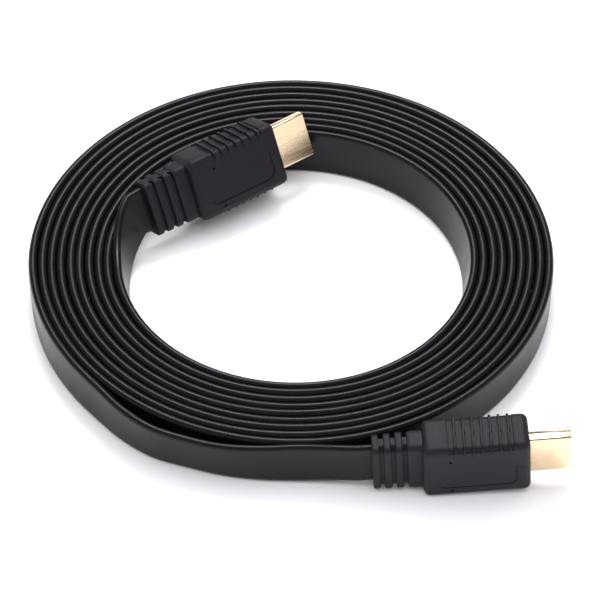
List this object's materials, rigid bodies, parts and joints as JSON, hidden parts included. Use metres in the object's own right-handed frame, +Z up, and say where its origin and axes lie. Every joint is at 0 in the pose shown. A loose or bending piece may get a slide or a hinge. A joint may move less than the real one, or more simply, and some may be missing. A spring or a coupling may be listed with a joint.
{
  "type": "flat hdmi cable",
  "caption": "Flat black audio and video cable wound on edge into a spiral coil, with a gold-plated type A plug moulded on each end.",
  "frame": {"origin": "centre of the footprint, on the surface that the coil lies on", "axes": "+Z up, along the coil's axis; +X towards the tip of the plug that lies outside the coil; +Y away from that plug, across the coil"},
  "size_m": [0.155, 0.1614, 0.0262],
  "materials": {
    "cable_jacket": "satin black PVC",
    "plug_overmould": "matte, fine-grained black PVC",
    "plug_shell": "bright pale gold plating on formed sheet",
    "plug_insulator": "moulded black nylon",
    "plug_contacts": "gold-plated copper alloy"
  },
  "bodies": {
    "root": {"coil": "cable_jacket", "inner_lead": "cable_jacket", "outer_lead": "cable_jacket", "outer_plug_overmould": "plug_overmould", "outer_plug_shell": "plug_shell", "outer_plug_insulator": "plug_insulator", "inner_plug_overmould": "plug_overmould", "inner_plug_shell": "plug_shell", "inner_plug_insulator": "plug_insulator", "outer_plug_contact_01": "plug_contacts", "outer_plug_contact_02": "plug_contacts", "outer_plug_contact_03": "plug_contacts", "outer_plug_contact_04": "plug_contacts", "outer_plug_contact_05": "plug_contacts", "outer_plug_contact_06": "plug_contacts", "outer_plug_contact_07": "plug_contacts", "outer_plug_contact_08": "plug_contacts", "outer_plug_contact_09": "plug_contacts", "outer_plug_contact_10": "plug_contacts", "outer_plug_contact_11": "plug_contacts", "outer_plug_contact_12": "plug_contacts", "outer_plug_contact_13": "plug_contacts", "outer_plug_contact_14": "plug_contacts", "outer_plug_contact_15": "plug_contacts", "outer_plug_contact_16": "plug_contacts", "outer_plug_contact_17": "plug_contacts", "outer_plug_contact_18": "plug_contacts", "outer_plug_contact_19": "plug_contacts", "inner_plug_contact_01": "plug_contacts", "inner_plug_contact_02": "plug_contacts", "inner_plug_contact_03": "plug_contacts", "inner_plug_contact_04": "plug_contacts", "inner_plug_contact_05": "plug_contacts", "inner_plug_contact_06": "plug_contacts", "inner_plug_contact_07": "plug_contacts", "inner_plug_contact_08": "plug_contacts", "inner_plug_contact_09": "plug_contacts", "inner_plug_contact_10": "plug_contacts", "inner_plug_contact_11": "plug_contacts", "inner_plug_contact_12": "plug_contacts", "inner_plug_contact_13": "plug_contacts", "inner_plug_contact_14": "plug_contacts", "inner_plug_contact_15": "plug_contacts", "inner_plug_contact_16": "plug_contacts", "inner_plug_contact_17": "plug_contacts", "inner_plug_contact_18": "plug_contacts", "inner_plug_contact_19": "plug_contacts"}
  },
  "joints": []
}
